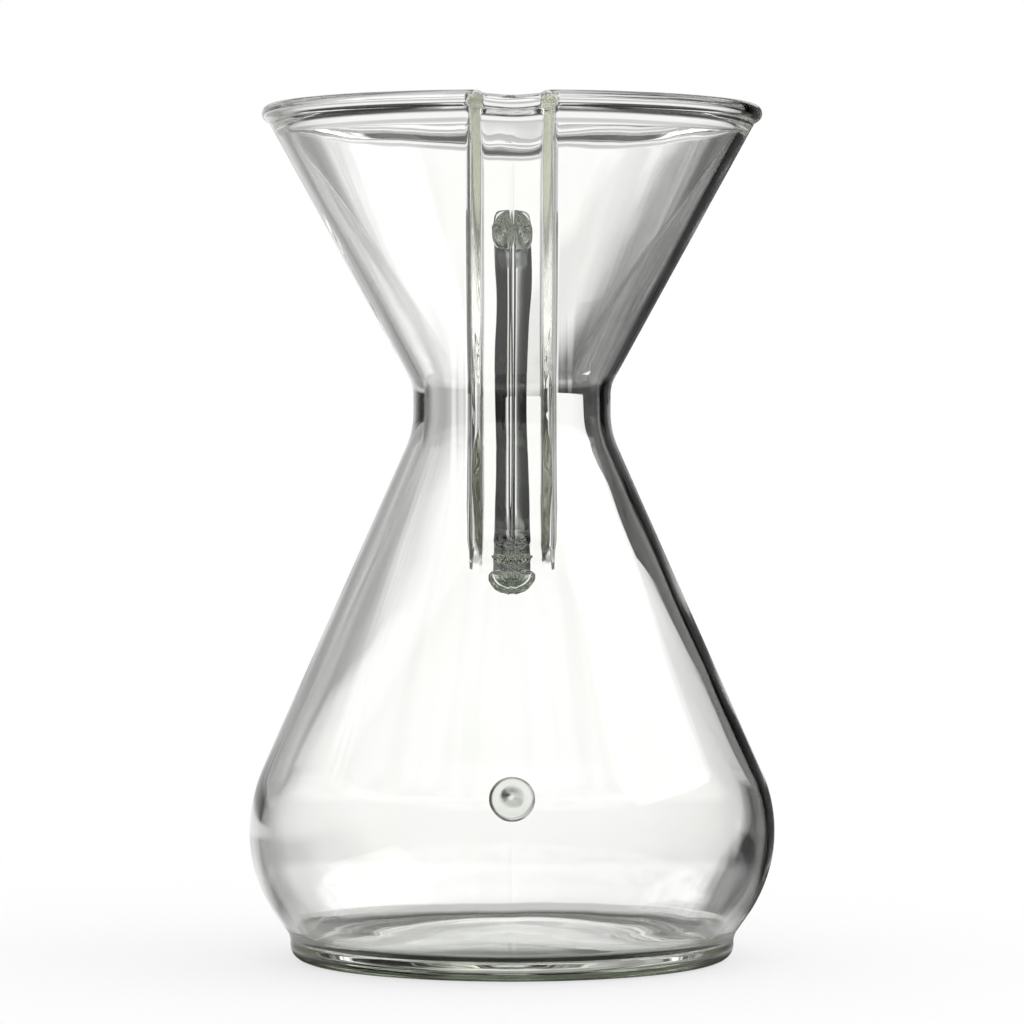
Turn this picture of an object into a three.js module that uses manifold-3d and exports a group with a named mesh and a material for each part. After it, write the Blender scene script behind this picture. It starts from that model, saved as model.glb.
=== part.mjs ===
// Hourglass pour-over coffee maker in clear blown glass, with a glass rod handle welded to it.
//
// Millimetres, +Z up. The origin is on the vessel's axis, in the plane that it stands on.
// The pouring channel faces -Y, and the handle is opposite it, on +Y.

import * as THREE from "three";
import { mergeVertices } from "three/addons/utils/BufferGeometryUtils.js";
import Module from "manifold-3d";

const wasm = await Module();
wasm.setup();

// Vessel: outside sizes
const HEIGHT = 238; // standing plane to the top of the rim bead
const RIM_RADIUS = 69.8; // to the outside of the rim bead
const NECK_RADIUS = 27.6;
const NECK_BOTTOM = 147; // where the flask's slope meets the neck
const NECK_LENGTH = 13.4; // from there up to where the cone's slope meets it
const NECK_TOP_FILLET = 10;
const NECK_BOTTOM_FILLET = 24;
const BELLY_RADIUS = 73.5;
const BELLY_HEIGHT = 36; // height of the widest place
const BELLY_CURVE = 41; // radius of the belly's curve from foot to shoulder
const BELLY_CURVE_LIMIT = 0.96; // share of the widest curve that still leaves the foot outside it
const FOOT_RADIUS = 62;
const FOOT_HEIGHT = 7.2; // where the foot's wall meets the belly's slope
const FOOT_FILLET = 6;
const FOOT_CORNER = 4;

// Glass thickness, rim and base
const WALL = 2.8;
const RIM_BEAD_DIAMETER = 4.6;
const BASE_THICKNESS = 4.8;
const BASE_INNER_CORNER = 7;
const STAND_RING_WIDTH = 8; // flat ring that touches the table
const PUSH_UP_RADIUS = 25; // level middle of the base, pushed up
const PUSH_UP_HEIGHT = 4.5;

// Pouring channel, pressed out of the front wall from the rim to below the neck
const CHANNEL_WIDTH = 23;
const CHANNEL_LEAN = 0.8; // how much narrower its front is on each side
const CHANNEL_FRONT_ROUND = 3.6; // outside, where a side turns into the front
const CHANNEL_SIDE_ROUND = 1.5; // outside, where a side leaves the round wall
const CHANNEL_LEAST_ROUND = 0.5;
const CHANNEL_DEPTH = 10.5; // out from the cone
const CHANNEL_NECK_DEPTH = 13.9; // out from the neck, where its front stands upright
const CHANNEL_BEND = 9; // rounding where that front leaves the cone
const CHANNEL_RUN_OUT = 2; // rounding where it runs into the flask
const LIP_DROP = 2.4;
const LIP_FLARE = 1;
const LIP_LENGTH = 14; // height over which the lip is drawn out and down

// Handle: a bent glass rod between two welds
const ROD_DIAMETER = 11.6;
const UPPER_WELD_DROP = 32; // from the rim down to the upper arm's axis
const LOWER_WELD_DROP = 41.4; // from the neck's lower end down to the lower weld
const LOWER_ARM_RISE = 14; // degrees that the lower arm climbs away from the wall
const UPPER_ARM = 2; // straight stretch between the upper weld and its bend
const GRIP_LEAN = 3; // how far the grip comes in towards its lower end
const UPPER_BEND = 12.5;
const LOWER_BEND = 18;
const WELD_FLARE = 1.3; // how far the weld spreads round the rod, on the wall
const UPPER_WELD_LENGTH = 8; // from the wall to the rod, on the weld's axis
const LOWER_WELD_LENGTH = 6.5;
const WELD_LIP = 0.4; // the weld's rim stands this far round the rod

// Half-full button on the flask's front
const BUTTON_HEIGHT = 50;
const BUTTON_DIAMETER = 12.2;
const BUTTON_EDGE = 1.3;
const BUTTON_DOME_DIAMETER = 7;
const BUTTON_RISE = 2.6;

// Fits and facets
const SEAT_GAP = 0.3; // between pieces that are fused on the real vessel
const ARC_SAG = 0.14; // most that a facet lies inside its arc
const CHANNEL_RING_STEP = 11;
const BACK_SEGMENTS = 34;
const CORNER_STEPS = 3;
const CORNER_ROOM = 1.1; // least depth of the channel's section, in corner radii, before it is flattened
const CHANNEL_BESIDE = 3.5; // width of the round wall's first facet beside the channel
const ROUND_SEGMENTS = 28;
const SEAT_SEGMENTS = 128;
const ROD_SIDES = 16;
const ROD_STEPS = 40;

const NECK_TOP = NECK_BOTTOM + NECK_LENGTH;
const STAND_RING_INNER = FOOT_RADIUS - FOOT_CORNER - STAND_RING_WIDTH;

const smoothStep = (t) => THREE.MathUtils.smoothstep(t, 0, 1);

// Larger of a and b, rounded over the width of the rounding.
function smoothMax(a, b, rounding) {
  const blend = Math.max(rounding - Math.abs(a - b), 0) / rounding;
  return Math.max(a, b) + (blend * blend * rounding) / 4;
}

// Number of facets for an arc, from how far a facet may lie inside it.
function arcSteps(radius, sweep) {
  return Math.max(2, Math.ceil(Math.abs(sweep) / (2 * Math.acos(1 - ARC_SAG / radius))));
}

// Points of an arc about a centre, at even angles, without its first point.
function arcPoints(centre, radius, start, end) {
  const steps = arcSteps(radius, end - start);
  const arc = new THREE.EllipseCurve(centre.x, centre.y, radius, radius, start, end, end < start);
  return arc.getPoints(steps).slice(1);
}

// A polyline of {point, fillet} corners, with each inner corner rounded.
function filletedLine(corners) {
  const points = [corners[0].point.clone()];
  for (let i = 1; i < corners.length - 1; i++) {
    const { point, fillet } = corners[i];
    const back = corners[i - 1].point.clone().sub(point).normalize();
    const ahead = corners[i + 1].point.clone().sub(point).normalize();
    const half = Math.acos(THREE.MathUtils.clamp(back.dot(ahead), -1, 1)) / 2;
    const reach = fillet / Math.tan(half);
    const first = point.clone().addScaledVector(back, reach);
    const last = point.clone().addScaledVector(ahead, reach);
    const centre = back.add(ahead).normalize().multiplyScalar(fillet / Math.sin(half)).add(point);
    const start = first.clone().sub(centre).angle();
    let sweep = last.clone().sub(centre).angle() - start;
    sweep -= Math.round(sweep / (2 * Math.PI)) * 2 * Math.PI;
    points.push(first, ...arcPoints(centre, fillet, start, start + sweep));
  }
  points.push(corners.at(-1).point.clone());
  return points;
}

// Corner where the lines a-b and c-d cross.
function crossing(a, b, c, d) {
  const along = b.clone().sub(a);
  const other = d.clone().sub(c);
  const share = c.clone().sub(a).cross(other) / along.cross(other);
  return along.multiplyScalar(share).add(a);
}

// Point where the tangent from a point touches a circle, on the side away from the axis.
function tangentPoint(from, centre, radius, turn) {
  const away = from.clone().sub(centre);
  const angle = away.angle() + turn * Math.acos(radius / away.length());
  return new THREE.Vector2(Math.cos(angle), Math.sin(angle)).multiplyScalar(radius).add(centre);
}

// Middle of the glass from the foot to the rim, in the plane of radius and height. Each corner has the
// fillet of that middle line, and bulge is 1 where the corner is convex outside and -1 where it is hollow.
function middleLine() {
  const half = WALL / 2;
  const foot = new THREE.Vector2(FOOT_RADIUS - half, FOOT_HEIGHT);
  const neckBottom = new THREE.Vector2(NECK_RADIUS - half, NECK_BOTTOM);
  const neckTop = new THREE.Vector2(NECK_RADIUS - half, NECK_TOP);
  const bead = RIM_BEAD_DIAMETER / 2;
  const bellyIn = BELLY_RADIUS - half - foot.x;
  const bellyUp = BELLY_HEIGHT - foot.y;
  const widest = (bellyIn ** 2 + bellyUp ** 2) / (2 * bellyIn);
  const curve = Math.min(BELLY_CURVE - half, BELLY_CURVE_LIMIT * widest);
  const bellyCentre = new THREE.Vector2(BELLY_RADIUS - half - curve, BELLY_HEIGHT);
  const lower = tangentPoint(foot, bellyCentre, curve, 1);
  const upper = tangentPoint(neckBottom, bellyCentre, curve, -1);
  return [
    { point: new THREE.Vector2(FOOT_RADIUS - half, 0) },
    { point: foot, fillet: FOOT_FILLET + half, bulge: -1 },
    { point: crossing(foot, lower, neckBottom, upper), fillet: curve, bulge: 1 },
    { point: neckBottom, fillet: NECK_BOTTOM_FILLET + half, bulge: -1 },
    { point: neckTop, fillet: NECK_TOP_FILLET + half, bulge: -1 },
    { point: new THREE.Vector2(RIM_RADIUS - bead, HEIGHT - bead) },
  ];
}

// The middle line moved outwards by an offset: half the wall gives the outside, minus half the inside.
function wallCorners(offset) {
  const middle = middleLine();
  const sides = middle.slice(1).map(({ point }, i) => {
    const start = middle[i].point;
    const along = point.clone().sub(start).normalize();
    const shift = new THREE.Vector2(along.y, -along.x).multiplyScalar(offset);
    return [start.clone().add(shift), point.clone().add(shift)];
  });
  return middle.map(({ fillet, bulge }, i) => {
    if (i === 0) return { point: sides[0][0] };
    if (i === middle.length - 1) return { point: sides.at(-1)[1] };
    return { point: crossing(...sides[i - 1], ...sides[i]), fillet: fillet + bulge * offset };
  });
}

const OUTSIDE = filletedLine(wallCorners(WALL / 2));

// Outside radius of the round wall at a height, without the channel.
function wallRadius(z) {
  const above = OUTSIDE.findIndex((p) => p.y >= z);
  const i = above < 0 ? OUTSIDE.length - 1 : Math.max(above, 1);
  const [low, high] = [OUTSIDE[i - 1], OUTSIDE[i]];
  return low.x + ((high.x - low.x) * (z - low.y)) / (high.y - low.y);
}

// Point on the round wall at a height, and the direction straight out of the glass there.
function wallSeat(z) {
  const slope = (wallRadius(z + SEAT_GAP) - wallRadius(z - SEAT_GAP)) / (2 * SEAT_GAP);
  return { point: new THREE.Vector2(wallRadius(z), z), out: new THREE.Vector2(1, -slope).normalize() };
}

// How far the channel's front stands out from the round wall at a height.
function channelDepth(z) {
  const [neck, rim] = OUTSIDE.slice(-2);
  const cone = neck.x + ((rim.x - neck.x) * (z - neck.y)) / (rim.y - neck.y);
  const front = smoothMax(cone + CHANNEL_DEPTH, NECK_RADIUS + CHANNEL_NECK_DEPTH, CHANNEL_BEND);
  return smoothMax(front - wallRadius(z), 0, CHANNEL_RUN_OUT);
}

// Profile of the glass: out along the underside, up the outside, over the rim bead and down the inside.
// inset is how much narrower the channel is on each side there than on the outside.
function vesselProfile() {
  const bead = RIM_BEAD_DIAMETER / 2;
  const beadCentre = new THREE.Vector2(RIM_RADIUS - bead, HEIGHT - bead);
  const seam = Math.sqrt(bead * bead - (WALL / 2) ** 2); // from the bead's centre back to the wall's end
  const endAtBead = (corners) => {
    const [last, end] = corners.slice(-2).map((c) => c.point);
    end.addScaledVector(end.clone().sub(last).normalize(), -seam);
    return corners;
  };

  const outside = endAtBead(wallCorners(WALL / 2));
  outside[0].fillet = FOOT_CORNER;
  outside.unshift({ point: new THREE.Vector2(STAND_RING_INNER, 0) });
  const [, foot, ...inside] = endAtBead(wallCorners(-WALL / 2));
  const floorStart = new THREE.Vector2(STAND_RING_INNER, BASE_THICKNESS);
  const floorEnd = new THREE.Vector2(FOOT_RADIUS, BASE_THICKNESS);
  const floorCorner = crossing(floorStart, floorEnd, foot.point, inside[0].point);
  inside.unshift({ point: floorStart }, { point: floorCorner, fillet: BASE_INNER_CORNER });

  const outer = filletedLine(outside);
  const inner = filletedLine(inside);
  const outerEnd = outer.at(-1).clone().sub(beadCentre).angle() - 2 * Math.PI;
  const innerEnd = inner.at(-1).clone().sub(beadCentre).angle();
  const overRim = arcPoints(beadCentre, bead, outerEnd, innerEnd).slice(0, -1);
  const across = outer.at(-1).clone().sub(inner.at(-1)).normalize();

  return [
    ...pushUp(0),
    ...channelRun(outer).map((p) => ({ r: p.x, z: p.y, inset: 0 })),
    ...overRim.map((p) => ({ r: p.x, z: p.y, inset: WALL / 2 - p.clone().sub(beadCentre).dot(across) })),
    ...channelRun(inner).reverse().map((p) => ({ r: p.x, z: p.y, inset: WALL })),
    ...pushUp(BASE_THICKNESS).reverse(),
  ];
}

// The base's pushed-up middle, from the axis out to the ring that it stands on.
function pushUp(z) {
  const rise = [0, 0.25, 0.5, 0.75].map((t) => ({
    r: PUSH_UP_RADIUS + (STAND_RING_INNER - PUSH_UP_RADIUS) * t,
    z: z + PUSH_UP_HEIGHT * (1 - smoothStep(t)),
    inset: 0,
  }));
  return [{ r: 0, z: z + PUSH_UP_HEIGHT, inset: 0 }, ...rise];
}

// Adds points on the straight stretches that the channel runs over.
function channelRun(points) {
  const runsOver = (p) => channelDepth(p.y) > 0;
  return points.flatMap((p, i) => {
    const next = points[i + 1];
    if (!next || !(runsOver(p) || runsOver(next))) return [p];
    const steps = Math.ceil(p.distanceTo(next) / CHANNEL_RING_STEP);
    return Array.from({ length: steps }, (_, k) => p.clone().lerp(next, k / steps));
  });
}

// Half of a level section through the channel, from its middle to the round wall beside it: across and out.
// A channel shallower than its corners keeps their places and is flattened.
function channelLine(depth, inset) {
  const frontRound = Math.max(CHANNEL_FRONT_ROUND - inset, CHANNEL_LEAST_ROUND);
  const sideRound = Math.max(CHANNEL_SIDE_ROUND + inset, CHANNEL_LEAST_ROUND);
  const full = Math.max(depth, CORNER_ROOM * (frontRound + sideRound));
  const foot = CHANNEL_WIDTH / 2 - inset;
  const slope = Math.atan2(full, CHANNEL_LEAN);
  const reach = Math.tan(slope / 2);
  const flat = foot - CHANNEL_LEAN - frontRound * reach;
  const beside = foot + sideRound * reach;
  const up = Math.PI / 2;
  const corner = new THREE.EllipseCurve(flat, full - frontRound, frontRound, frontRound, up, up - slope, true);
  const root = new THREE.EllipseCurve(beside, sideRound, sideRound, sideRound, -up - slope, -up);
  const line = [
    new THREE.Vector2(0, full),
    new THREE.Vector2(flat / 2, full),
    ...corner.getPoints(CORNER_STEPS),
    ...root.getPoints(CORNER_STEPS),
    new THREE.Vector2(CHANNEL_WIDTH / 2 + CHANNEL_BESIDE, 0),
  ];
  return line.map((p) => new THREE.Vector2(p.x, (p.y * depth) / full));
}

// One level section of the vessel: a circle whose front is pressed out into the channel. Near the rim the
// channel's middle is drawn out and down into the lip.
function sectionRing({ r, z, inset }) {
  const guide = Math.max(r, NECK_RADIUS - WALL); // rings in the base copy the neck's spacing
  const half = channelLine(channelDepth(z), inset);
  const mirrored = half.slice(1).reverse();
  const front = [...mirrored.map((p) => new THREE.Vector2(-p.x, p.y)), ...half].map((p) => ({
    angle: Math.asin(p.x / guide),
    out: p.y,
    dip: Math.cos((Math.min(Math.abs(p.x) / (CHANNEL_WIDTH / 2), 1) * Math.PI) / 2) ** 2,
  }));
  const edge = front.at(-1).angle;
  const back = Array.from({ length: BACK_SEGMENTS - 1 }, (_, k) => ({
    angle: edge + ((2 * Math.PI - 2 * edge) * (k + 1)) / BACK_SEGMENTS,
    out: 0,
    dip: 0,
  }));

  const lip = smoothStep((z - (HEIGHT - LIP_LENGTH)) / LIP_LENGTH);
  return [...front, ...back].map(({ angle, out, dip }) => {
    const y = -r * Math.cos(angle) - out - LIP_FLARE * lip * dip;
    return new THREE.Vector3(r * Math.sin(angle), y, z - LIP_DROP * lip * dip);
  });
}

// Closed skin over a stack of rings with equally many points. The first and last are single points.
function skin(first, rings, last) {
  const count = rings[0].length;
  const points = [first, ...rings.flat(), last];
  const at = (ring, k) => 1 + ring * count + (k % count);
  const index = [];
  for (let k = 0; k < count; k++) {
    index.push(0, at(0, k + 1), at(0, k));
    for (let ring = 0; ring < rings.length - 1; ring++) {
      const [a, b, c, d] = [at(ring, k), at(ring, k + 1), at(ring + 1, k + 1), at(ring + 1, k)];
      index.push(a, b, c, a, c, d);
    }
    index.push(points.length - 1, at(rings.length - 1, k), at(rings.length - 1, k + 1));
  }
  return new THREE.BufferGeometry().setFromPoints(points).setIndex(index);
}

function vesselGeometry() {
  const profile = vesselProfile();
  const pole = ({ z }) => new THREE.Vector3(0, 0, z);
  return skin(pole(profile[0]), profile.slice(1, -1).map(sectionRing), pole(profile.at(-1)));
}

// Geometry to solid and back, for cuts.
function toSolid(geometry) {
  const bare = geometry.clone();
  bare.deleteAttribute("normal");
  bare.deleteAttribute("uv");
  const merged = mergeVertices(bare, 1e-3);
  return new wasm.Manifold(
    new wasm.Mesh({
      numProp: 3,
      vertProperties: merged.getAttribute("position").array,
      triVerts: new Uint32Array(merged.index.array),
    }),
  );
}

function toGeometry(solid) {
  const mesh = solid.getMesh();
  const geometry = new THREE.BufferGeometry();
  geometry.setAttribute("position", new THREE.BufferAttribute(mesh.vertProperties, 3));
  return geometry.setIndex(new THREE.BufferAttribute(mesh.triVerts, 1));
}

// A turned piece on the wall: its profile, in radius and distance out of the wall, is revolved about the
// seat's direction, and its back is cut to the wall with the seat gap. side is -1 on the front, 1 behind.
function turnedOnWall(profile, seat, direction, side) {
  const geometry = new THREE.LatheGeometry(profile, ROUND_SEGMENTS);
  const axis = new THREE.Vector3(0, side * direction.x, direction.y);
  const turn = new THREE.Quaternion().setFromUnitVectors(new THREE.Vector3(0, 1, 0), axis);
  const place = new THREE.Vector3(0, side * seat.x, seat.y);
  geometry.applyMatrix4(new THREE.Matrix4().compose(place, turn, new THREE.Vector3(1, 1, 1)));
  return toGeometry(toSolid(geometry).subtract(WALL_KEEP_OUT));
}

// The round vessel grown by the seat gap, filled solid, to cut what is seated on it.
function keepOut() {
  const outline = filletedLine(wallCorners(WALL / 2 + SEAT_GAP));
  const closed = [new THREE.Vector2(0, outline[0].y), ...outline, new THREE.Vector2(0, outline.at(-1).y)];
  const geometry = new THREE.LatheGeometry(closed, SEAT_SEGMENTS);
  return toSolid(geometry.rotateX(Math.PI / 2));
}

const WALL_KEEP_OUT = keepOut();

// Flared gather of glass between the wall and the end of the rod.
function weldGeometry(seat, direction, length) {
  const foot = ROD_DIAMETER / 2 + WELD_FLARE;
  const top = ROD_DIAMETER / 2 + WELD_LIP;
  const flare = new THREE.EllipseCurve(foot, length, foot - top, length, Math.PI * 1.5, Math.PI, true);
  const steps = arcSteps(length, Math.PI / 2);
  const profile = [new THREE.Vector2(0, -foot), new THREE.Vector2(foot, -foot), ...flare.getPoints(steps)];
  profile.push(new THREE.Vector2(0, length));
  return turnedOnWall(profile, seat, direction, 1);
}

// Button: a rounded disc with a dome in its middle.
function buttonGeometry() {
  const seat = wallSeat(BUTTON_HEIGHT);
  const radius = BUTTON_DIAMETER / 2;
  const dome = BUTTON_DOME_DIAMETER / 2;
  const edge = new THREE.EllipseCurve(radius - BUTTON_EDGE, 0, BUTTON_EDGE, BUTTON_EDGE, 0, Math.PI / 2);
  const crown = new THREE.EllipseCurve(0, BUTTON_EDGE, dome, BUTTON_RISE - BUTTON_EDGE, 0, Math.PI / 2);
  const steps = arcSteps(dome, Math.PI / 2);
  const profile = [new THREE.Vector2(0, -radius), new THREE.Vector2(radius, -radius)];
  profile.push(...edge.getPoints(steps), ...crown.getPoints(steps).slice(0, -1));
  profile.push(new THREE.Vector2(0, BUTTON_RISE));
  return turnedOnWall(profile, seat.point, seat.out, -1);
}

// Bend of a rod at a corner, as a curve that stays close to an arc of the radius.
function bendCurve(before, corner, after, radius) {
  const back = before.clone().sub(corner).normalize();
  const ahead = after.clone().sub(corner).normalize();
  const turn = Math.PI - back.angleTo(ahead);
  const reach = radius * Math.tan(turn / 2);
  const pull = reach - (4 / 3) * Math.tan(turn / 4) * radius;
  return new THREE.CubicBezierCurve3(
    corner.clone().addScaledVector(back, reach),
    corner.clone().addScaledVector(back, pull),
    corner.clone().addScaledVector(ahead, pull),
    corner.clone().addScaledVector(ahead, reach),
  );
}

// The rod's axis, from the upper weld out, down the grip and in to the lower weld.
function handlePath(upper, lower) {
  const inSide = (p) => new THREE.Vector3(0, p.x, p.y);
  const start = inSide(upper.point.clone().addScaledVector(upper.out, UPPER_WELD_LENGTH + SEAT_GAP));
  const end = inSide(lower.point.clone().addScaledVector(lower.out, LOWER_WELD_LENGTH + SEAT_GAP));
  const gripTop = start.clone().add(new THREE.Vector3(0, UPPER_ARM + UPPER_BEND, 0));
  const gripFoot = gripTop.y - GRIP_LEAN;
  const along = (gripFoot - lower.point.x) / lower.out.x;
  const gripBottom = inSide(lower.point.clone().addScaledVector(lower.out, along));
  const bends = [
    bendCurve(start, gripTop, gripBottom, UPPER_BEND),
    bendCurve(gripTop, gripBottom, end, LOWER_BEND),
  ];
  const path = new THREE.CurvePath();
  path.add(new THREE.LineCurve3(start, bends[0].v0));
  path.add(bends[0]);
  path.add(new THREE.LineCurve3(bends[0].v3, bends[1].v0));
  path.add(bends[1]);
  path.add(new THREE.LineCurve3(bends[1].v3, end));
  return path;
}

function handleGeometry(upper, lower) {
  const round = new THREE.Shape().absarc(0, 0, ROD_DIAMETER / 2, 0, 2 * Math.PI);
  return new THREE.ExtrudeGeometry(round, {
    extrudePath: handlePath(upper, lower),
    steps: ROD_STEPS,
    curveSegments: ROD_SIDES / 2,
  });
}

const clearGlass = () =>
  new THREE.MeshStandardMaterial({
    color: 0xeaf1ec,
    roughness: 0.04,
    metalness: 0,
    transparent: true,
    opacity: 0.35,
  });

function piece(name, geometry) {
  const mesh = new THREE.Mesh(geometry, clearGlass());
  mesh.name = name;
  return mesh;
}

// The upper arm leaves the cone level, and the lower one climbs a little away from the flask.
const armSeat = (z, rise) => ({
  point: new THREE.Vector2(wallRadius(z), z),
  out: new THREE.Vector2(1, 0).rotateAround(new THREE.Vector2(), THREE.MathUtils.degToRad(rise)),
});
const upperSeat = armSeat(HEIGHT - UPPER_WELD_DROP, 0);
const lowerSeat = armSeat(NECK_BOTTOM - LOWER_WELD_DROP, LOWER_ARM_RISE);

const coffeeMaker = new THREE.Group();
coffeeMaker.add(
  piece("glass_vessel", vesselGeometry()),
  piece("glass_handle", handleGeometry(upperSeat, lowerSeat)),
  piece("upper_handle_weld", weldGeometry(upperSeat.point, upperSeat.out, UPPER_WELD_LENGTH)),
  piece("lower_handle_weld", weldGeometry(lowerSeat.point, lowerSeat.out, LOWER_WELD_LENGTH)),
  piece("half_full_button", buttonGeometry()),
);

export default coffeeMaker;
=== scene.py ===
"""Pour-over coffee maker in clear blown glass, standing on a white floor in soft studio light.

Sizes are in millimetres and turned to metres where a mesh is made. +Z is up, the pouring channel faces -Y
and the handle is on +Y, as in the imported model.
"""

import math

import bpy
import numpy as np
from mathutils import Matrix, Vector, noise


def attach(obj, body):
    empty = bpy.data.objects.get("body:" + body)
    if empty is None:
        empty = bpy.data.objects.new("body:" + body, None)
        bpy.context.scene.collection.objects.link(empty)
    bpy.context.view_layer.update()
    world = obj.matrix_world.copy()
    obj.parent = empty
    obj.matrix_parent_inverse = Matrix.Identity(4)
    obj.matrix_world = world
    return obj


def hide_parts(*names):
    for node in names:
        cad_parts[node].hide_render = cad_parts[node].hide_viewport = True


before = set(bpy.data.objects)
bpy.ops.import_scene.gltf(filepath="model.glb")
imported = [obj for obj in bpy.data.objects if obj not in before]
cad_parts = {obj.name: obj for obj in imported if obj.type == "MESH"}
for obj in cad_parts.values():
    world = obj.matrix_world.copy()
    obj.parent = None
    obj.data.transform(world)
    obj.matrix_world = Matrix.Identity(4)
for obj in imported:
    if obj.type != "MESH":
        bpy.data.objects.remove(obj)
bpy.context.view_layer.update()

MM = 0.001

# Vessel in section: the sizes of the solids; only the bead sits a hair lower, to stay inside their box
SOLID_HEIGHT = 238.0
BEAD_LOWER = 0.03
HEIGHT = SOLID_HEIGHT - BEAD_LOWER
RIM_RADIUS = 69.8  # to the outside of the bead
RIM_BEAD = 4.6
RIM_BEAD_STEPS = 20
BELOW_BEAD = 4.0  # height of the wall's last stretch, up to the bead
WALL = 2.8
NECK_RADIUS = 27.6
INNER_NECK = NECK_RADIUS - WALL
NECK_BOTTOM = 147.0
NECK_TOP = 160.4
NECK_BOTTOM_FILLET = 24.0
NECK_TOP_FILLET = 10.0
BELLY_RADIUS = 73.5
BELLY_HEIGHT = 36.0  # height of the widest place
BELLY_CURVE = 41.0
FOOT_RADIUS = 62.0
FOOT_HEIGHT = 7.2  # where the foot's wall meets the belly's slope
FOOT_FILLET = 6.0
FOOT_CORNER = 4.0
FOOT_RING = 50.0  # inner radius of the flat ring that it stands on
BASE_THICKNESS = 4.8
BASE_INNER_CORNER = 7.0
PUSH_UP_HEIGHT = 4.5
PUSH_UP_POWER = 1.5  # makes the pushed-up middle a round dome
PUSH_UP_STEPS = 24
VESSEL_STEPS = 256
ARC_STEP = 1.6
LEAST_ARC_STEPS = 6
STRAIGHT_STEP = 3.5

# Pouring channel, pressed out of the front wall; its lower end is blunter than in the solids
CHANNEL_HALF_WIDTH = 11.5
CHANNEL_LEAN = 0.8  # how much narrower its front is on each side
CHANNEL_FRONT_ROUND = 3.6  # where a side turns into the front
CHANNEL_SIDE_ROUND = 1.5  # where a side leaves the round wall
CHANNEL_LEAST_ROUND = 0.5
CORNER_ROOM = 1.1  # a channel shallower than this many times both roundings has smaller ones
CORNER_LEAST_SHARE = 0.15
CHANNEL_DEPTH = 10.5  # out from the cone
CHANNEL_FRONT = 41.5  # from the axis to its upright front at the neck
CHANNEL_BEND = 9.0  # rounding where that front leaves the cone
CHANNEL_RUN_OUT = 2.0  # rounding where it runs into the flask
CHANNEL_END = 113.0
CHANNEL_END_DEPTH = 3.6
CHANNEL_END_LENGTH = 4.0
CHANNEL_END_BLEND = 4  # power that blends it into the run-out
CHANNEL_FULL_DEPTH = 6.0  # from this depth on, the front counts as channel and not as flask
CHANNEL_LEAST_DEPTH = 1.0  # below it, the lip's drop fades out

# Stations across half of the channel: its front, front corner, side, inner corner and the wall beside it
STATIONS = (12, 22, 30, 40, 46)
STATION_REACH = 15.0  # how far across the last of them lies
STATION_SLACK = 0.25  # allows for rounding
STATION_CROWDING = 1.6  # power that draws those on the front towards the mould line

# Lip: the channel's rim, drawn out and down, with a wall that is thicker inside
LIP_DROP = 2.2
LIP_FLARE = 0.94
LIP_LENGTH = 14.0
LIP_SHARE = 0.62  # share of the drop that goes on out to the channel's sides
LIP_WEDGE = 0.085  # how much thicker the wall grows with each millimetre up
LIP_WEDGE_START = 219.0
LIP_WEDGE_ROUND = 3.0
LIP_WEDGE_POWER = 8  # keeps it even across, with an end at the sides
LIP_WAVE = 0.3
LIP_WAVE_LENGTH = 4.5
LIP_WAVE_PLACE = 2.7  # where in the noise the waves are read

# Mould line: a low ridge down the middle of the front, lower on the flask and gone at foot, button and lip
SEAM_HEIGHT = 0.09
SEAM_WIDTH = 0.5
SEAM_ON_FLASK = 0.5
SEAM_START = 1.0
SEAM_FADE = 6.0
SEAM_INSET = 0.5  # points further in than this are not on the outside

# Waves of the hand-blown wall: stronger inside and in the channel, gone at foot, axis and rim
WAVE_INSIDE = 0.10
WAVE_OUTSIDE = 0.03
WAVE_IN_CHANNEL = 0.8
WAVE_ACROSS = 17.0
WAVE_UP = 34.0
WAVE_SHIFT = 5.0  # keeps the waves inside apart from those outside
WAVE_START = 6.0
WAVE_FADE = 12.0
WAVE_BELOW_RIM = 9.0
WAVE_OFF_AXIS = 5.0

# Welds: gathers of glass that spread from the rod's ends onto the wall
UPPER_WELD_HEIGHT = 206.0
UPPER_WELD_LENGTH = 8.0
UPPER_WELD_SQUARENESS = 4.0  # 2 is round, and 4 has the corners of a block
UPPER_WELD_SIZE = 0.9
LOWER_WELD_HEIGHT = 105.6
LOWER_WELD_LENGTH = 6.5
LOWER_WELD_SQUARENESS = 2.2
LOWER_WELD_SIZE = 1.0
WELD_FLARE = 1.3
WELD_FLARE_STEPS = 12
WELD_LIP = 0.4
WELD_LUMP = 0.4
WELD_LUMP_LENGTH = 3.2
WELD_DRAWN_IN = 0.3  # makes room for the lumps
WELD_STEPS = 64
SEAT_GAP = 0.12  # between pieces that are fused on the real vessel
SEAT_STEPS = 384
SHARP_EDGE = 35.0  # degrees

# Handle: axis of the rod in the plane of Y and Z, with the radius of the bend at each corner
ROD_RADIUS = 5.8
ROD_START = (60.55, UPPER_WELD_HEIGHT)
ROD_CORNERS = ((75.2, UPPER_WELD_HEIGHT, 12.5), (72.2, 112.08, 18.0))
ROD_END = (52.63, 107.21)
LOWER_ARM_RISE = 14.0  # degrees
ROD_SIDES = 64
ROD_CUT = 4.0  # length of the cuts along its straight stretches
ROD_BEND_STEPS = 24

# Half-full button
BUTTON_HEIGHT = 50.0
BUTTON_DIAMETER = 12.2
BUTTON_EDGE = 1.3
BUTTON_EDGE_STEPS = 10
BUTTON_DOME = 7.0
BUTTON_DOME_SPREAD = 1.1  # where the dome runs out, in its radii
BUTTON_DOME_STEPS = 16
BUTTON_RISE = 2.6
BUTTON_STEPS = 96

# Fused faces: least cosine of the angle between a face and the direction of its joint
ROD_END_FACE = 0.9999
WELD_TOP_FACE = 0.99
WELD_BACK_FACE = 0.5

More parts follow.
